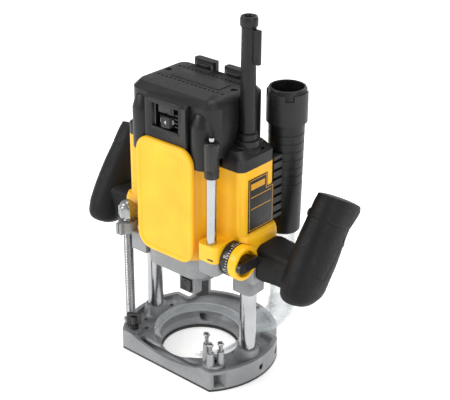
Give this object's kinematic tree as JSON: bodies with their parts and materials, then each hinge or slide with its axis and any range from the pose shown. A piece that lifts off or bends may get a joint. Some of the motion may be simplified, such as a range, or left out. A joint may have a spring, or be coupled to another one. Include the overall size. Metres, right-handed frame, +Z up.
{
  "type": "plunge router",
  "caption": "Plunge router: a motor carriage with side grips slides down two steel columns on a flat round base, with depth rod, stop turret and dust outlet.",
  "frame": {"origin": "spindle axis at the underside of the sole", "axes": "+X towards the right-hand grip, -Y towards the front panel, +Z up along the spindle"},
  "size_m": [0.322, 0.1413, 0.392],
  "materials": {
    "cast_alloy": "sand-cast, painted silver grey",
    "yellow_shell": "moulded, light gloss",
    "black_plastic": "moulded, fine spark texture",
    "sole_phenolic": "pressed sheet",
    "ground_steel": "ground",
    "zinc_steel": "zinc plated",
    "bush_bronze": "sintered",
    "laminations": "laminated",
    "clear_plastic": "clear moulded plastic",
    "label_film": "printed film",
    "grey_plastic": "moulded",
    "bracket_alloy": "die-cast"
  },
  "bodies": {
    "base": {"base_casting": "cast_alloy", "sole_plate": "sole_phenolic", "sole_screws": "zinc_steel", "guide_columns": "ground_steel", "plunge_springs": "zinc_steel", "column_set_screws": "zinc_steel", "limit_rod": "zinc_steel", "wing_spring": "zinc_steel", "turret_bolt": "zinc_steel", "dust_shroud": "clear_plastic", "dust_elbow": "clear_plastic", "dust_pipe": "clear_plastic"},
    "wing": {"wing_screw": "zinc_steel"},
    "acorn": {"acorn_nut": "zinc_steel"},
    "turret": {"turret": "cast_alloy"},
    "stop_1": {"stop_screw_1": "zinc_steel"},
    "stop_2": {"stop_screw_2": "zinc_steel"},
    "stop_3": {"stop_screw_3": "zinc_steel"},
    "carriage": {"lower_casting": "cast_alloy", "guide_bushes": "bush_bronze", "motor_housing": "yellow_shell", "front_cover": "yellow_shell", "top_cover": "black_plastic", "cover_screws": "zinc_steel", "rating_plate": "label_film", "hose_tube": "black_plastic", "bayonet_collar": "black_plastic", "tube_bracket": "black_plastic", "limit_guide": "cast_alloy", "cord_guard": "black_plastic", "guard_collar": "black_plastic", "stator": "laminations", "bearings": "ground_steel", "upper_bearing_bracket": "bracket_alloy", "brush_gear": "black_plastic", "control_board": "black_plastic", "left_grip_inner": "black_plastic", "left_grip_outer": "black_plastic", "right_grip_inner": "black_plastic", "right_grip_outer": "black_plastic", "trigger_pins": "ground_steel", "grip_screws": "zinc_steel", "switch_box": "black_plastic"},
    "spindle": {"spindle_shaft": "ground_steel", "armature": "laminations", "cooling_fan": "grey_plastic", "bearing_inners": "ground_steel", "collet": "ground_steel"},
    "collet_nut": {"collet_nut": "ground_steel"},
    "depth_rod": {"depth_rod": "ground_steel"},
    "top_knob": {"top_knob": "black_plastic"},
    "height_knob": {"knob_ring": "yellow_shell", "pinion_shaft": "ground_steel"},
    "scale_ring": {"scale_ring": "black_plastic"},
    "lock_lever": {"lock_lever": "black_plastic"},
    "lock_button": {"lock_button": "black_plastic"},
    "speed_dial": {"speed_dial": "black_plastic"},
    "trigger": {"trigger": "black_plastic"},
    "plunge_lever": {"plunge_lever": "black_plastic"},
    "lock_on_button": {"lock_on_button": "black_plastic"}
  },
  "joints": [
    {"name": "wing_turn", "type": "hinge", "parent": "base", "child": "wing", "pos_m": [-0.055, -0.0465, 0.043], "axis": [0, 0, 1], "range_deg": [-180, 180]},
    {"name": "acorn_turn", "type": "hinge", "parent": "base", "child": "acorn", "pos_m": [-0.068, -0.0385, 0.154], "axis": [0, 0, 1], "range_deg": [-180, 180]},
    {"name": "turret_turn", "type": "hinge", "parent": "base", "child": "turret", "pos_m": [0.0555, -0.041, 0.0236], "axis": [0, 0, 1], "continuous": true},
    {"name": "stop_1_height", "type": "slide", "parent": "turret", "child": "stop_1", "axis": [0, 0, 1], "range_m": [-0.0045, 0.0015]},
    {"name": "stop_2_height", "type": "slide", "parent": "turret", "child": "stop_2", "axis": [0, 0, 1], "range_m": [-0.0045, 0.005]},
    {"name": "stop_3_height", "type": "slide", "parent": "turret", "child": "stop_3", "axis": [0, 0, 1], "range_m": [-0.0045, 0.005]},
    {"name": "plunge", "type": "slide", "parent": "base", "child": "carriage", "axis": [0, 0, -1], "range_m": [0, 0.062], "stiffness_N_per_m": 600, "springref_m": -0.12, "deforming": ["plunge_springs"]},
    {"name": "spindle_spin", "type": "hinge", "parent": "carriage", "child": "spindle", "pos_m": [0, 0, 0.086], "axis": [0, 0, 1], "continuous": true},
    {"name": "collet_nut_turn", "type": "hinge", "parent": "spindle", "child": "collet_nut", "pos_m": [0, 0, 0.072], "axis": [0, 0, 1], "range_deg": [-180, 0]},
    {"name": "rod_slide", "type": "slide", "parent": "carriage", "child": "depth_rod", "axis": [0, 0, 1], "range_m": [-0.06, 0.012]},
    {"name": "top_knob_turn", "type": "hinge", "parent": "depth_rod", "child": "top_knob", "pos_m": [0.058, -0.047, 0.241], "axis": [0, 0, 1], "range_deg": [-180, 180]},
    {"name": "height_knob_turn", "type": "hinge", "parent": "carriage", "child": "height_knob", "pos_m": [0.058, -0.0316, 0.152], "axis": [1, 0, 0], "range_deg": [-61, 300]},
    {"name": "scale_ring_turn", "type": "hinge", "parent": "carriage", "child": "scale_ring", "pos_m": [0.058, -0.0316, 0.152], "axis": [1, 0, 0], "range_deg": [-180, 180]},
    {"name": "lock_lever_turn", "type": "hinge", "parent": "carriage", "child": "lock_lever", "pos_m": [0.058, -0.0316, 0.152], "axis": [1, 0, 0], "range_deg": [0, 60]},
    {"name": "lock_button_press", "type": "slide", "parent": "carriage", "child": "lock_button", "axis": [0, 1, 0], "range_m": [0, 0.002], "stiffness_N_per_m": 400, "springref_m": -0.001},
    {"name": "speed_dial_turn", "type": "hinge", "parent": "carriage", "child": "speed_dial", "pos_m": [0, -0.043, 0.278], "axis": [0, 0, 1], "range_deg": [-150, 150]},
    {"name": "trigger_press", "type": "hinge", "parent": "carriage", "child": "trigger", "pos_m": [0.141, 0.044, 0.184], "axis": [1, 0, 0], "range_deg": [-9, 0], "stiffness_Nm_per_rad": 0.4, "springref_deg": 5.73},
    {"name": "plunge_lever_press", "type": "hinge", "parent": "carriage", "child": "plunge_lever", "pos_m": [-0.141, 0.044, 0.184], "axis": [1, 0, 0], "range_deg": [-9, 0], "stiffness_Nm_per_rad": 0.4, "springref_deg": 5.73},
    {"name": "lock_on_press", "type": "slide", "parent": "carriage", "child": "lock_on_button", "axis": [1, 0, 0], "range_m": [0, 0.003], "stiffness_N_per_m": 400, "springref_m": -0.001}
  ],
  "couplings": [
    {"joint": "height_knob_turn", "follows": "rod_slide", "rad_per_m": -86.957}
  ]
}
